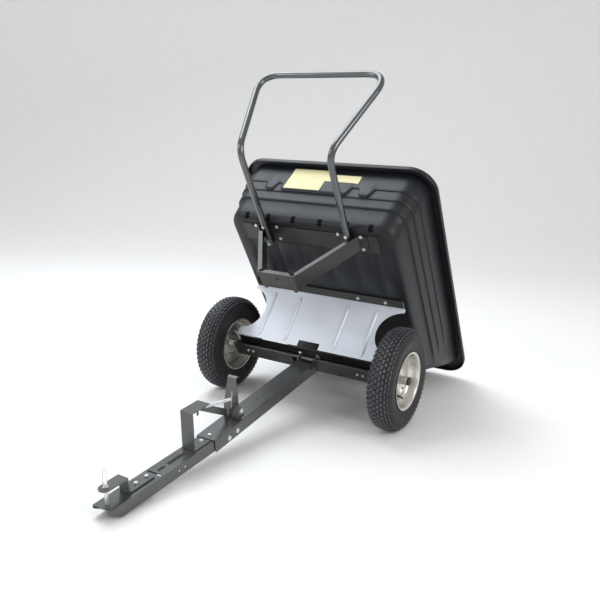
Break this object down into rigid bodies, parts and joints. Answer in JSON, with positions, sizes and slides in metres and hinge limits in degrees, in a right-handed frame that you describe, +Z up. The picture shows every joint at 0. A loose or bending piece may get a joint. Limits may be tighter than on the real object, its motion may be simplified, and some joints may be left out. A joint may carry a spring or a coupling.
{
  "type": "tow behind dump cart",
  "caption": "Tow-behind dump cart: tipping moulded tub on a steel frame with pneumatic wheels, channel tongue with pin hitch, spring latch and push handle.",
  "frame": {"origin": "on the ground under the middle of the cart's bounding box, with the tub tipped", "axes": "+Z up, +Y to the rear along the tongue, +X to the right seen from the hitch, along the axle"},
  "size_m": [0.893, 1.8867, 1.3264],
  "materials": {
    "tub_plastic": "rotation-moulded polyethylene, low sheen, fine grain",
    "grey_paint": "gunmetal powder coat with metallic flake, semi-gloss",
    "silver_paint": "satin silver paint on pressed sheet",
    "handle_paint": "smooth silver-grey metallic coat",
    "zinc": "bright zinc plate",
    "wheel_steel": "zinc-plated pressed steel, satin",
    "tyre": "black tyre rubber, matt, with block tread",
    "bush_plastic": "black nylon",
    "valve_rubber": "black rubber stem"
  },
  "bodies": {
    "chassis": {"tongue_rear_channel": "grey_paint", "tongue_front_channel": "grey_paint", "hitch_strap": "grey_paint", "hitch_bolt_1": "zinc", "hitch_bolt_2": "zinc", "tongue_side_bolt_1": "zinc", "tongue_side_bolt_2": "zinc", "tongue_top_bolt": "zinc", "latch_bracket": "grey_paint", "latch_bracket_bolt": "zinc", "latch_brace": "grey_paint", "latch_pivot_bracket": "grey_paint", "pivot_bracket_bolt": "zinc", "latch_pivot_pin": "zinc", "latch_spring": "zinc", "axle": "grey_paint", "axle_cap_left": "bush_plastic", "axle_cap_right": "bush_plastic"},
    "tub_unit": {"tub": "tub_plastic", "tub_front_bracket": "grey_paint", "v_brace": "grey_paint", "push_handle": "handle_paint", "wheel_panel": "silver_paint", "rear_cross_strip": "grey_paint", "axle_beam": "grey_paint", "axle_bracket_left": "grey_paint", "axle_bracket_right": "grey_paint", "bracket_bolt_left_1": "zinc", "bracket_bolt_left_2": "zinc", "bracket_bolt_right_1": "zinc", "bracket_bolt_right_2": "zinc", "brace_bolt_left_1": "zinc", "brace_bolt_left_2": "zinc", "brace_bolt_right_1": "zinc", "brace_bolt_right_2": "zinc", "handle_bolt_left_1": "zinc", "handle_bolt_left_2": "zinc", "handle_bolt_right_1": "zinc", "handle_bolt_right_2": "zinc", "panel_bolt_left_1": "zinc", "panel_bolt_left_2": "zinc", "panel_bolt_right_1": "zinc", "panel_bolt_right_2": "zinc"},
    "hitch_pin": {"hitch_pin": "zinc"},
    "pin_clip": {"hitch_pin_clip": "zinc"},
    "latch_lever": {"latch_lever": "grey_paint"},
    "wheel_left": {"tyre_left": "tyre", "rim_outer_left": "wheel_steel", "rim_inner_left": "wheel_steel", "hub_tube_left": "wheel_steel", "bush_outer_left": "bush_plastic", "bush_inner_left": "bush_plastic", "valve_stem_left": "valve_rubber"},
    "wheel_right": {"tyre_right": "tyre", "rim_outer_right": "wheel_steel", "rim_inner_right": "wheel_steel", "hub_tube_right": "wheel_steel", "bush_outer_right": "bush_plastic", "bush_inner_right": "bush_plastic", "valve_stem_right": "valve_rubber"}
  },
  "joints": [
    {"name": "tub_tilt", "type": "hinge", "parent": "chassis", "child": "tub_unit", "pos_m": [0, 0.1846, 0.2], "axis": [1, 0, 0], "range_deg": [0, 64]},
    {"name": "wheel_left_spin", "type": "hinge", "parent": "chassis", "child": "wheel_left", "pos_m": [-0.395, 0.1846, 0.2], "axis": [1, 0, 0], "continuous": true},
    {"name": "wheel_right_spin", "type": "hinge", "parent": "chassis", "child": "wheel_right", "pos_m": [0.395, 0.1846, 0.2], "axis": [1, 0, 0], "continuous": true},
    {"name": "latch_lever_swing", "type": "hinge", "parent": "chassis", "child": "latch_lever", "pos_m": [0, -0.32627, 0.14447], "axis": [1, 0, 0], "range_deg": [-10, 0], "stiffness_Nm_per_rad": 5, "springref_deg": 11.46},
    {"name": "hitch_pin_lift", "type": "slide", "parent": "chassis", "child": "hitch_pin", "axis": [0, -0.0969, 0.9953], "range_m": [0, 0.085]},
    {"name": "pin_clip_swing", "type": "hinge", "parent": "hitch_pin", "child": "pin_clip", "pos_m": [0, -0.9224, 0.10495], "axis": [1, 0, 0], "range_deg": [-85, 85]}
  ]
}
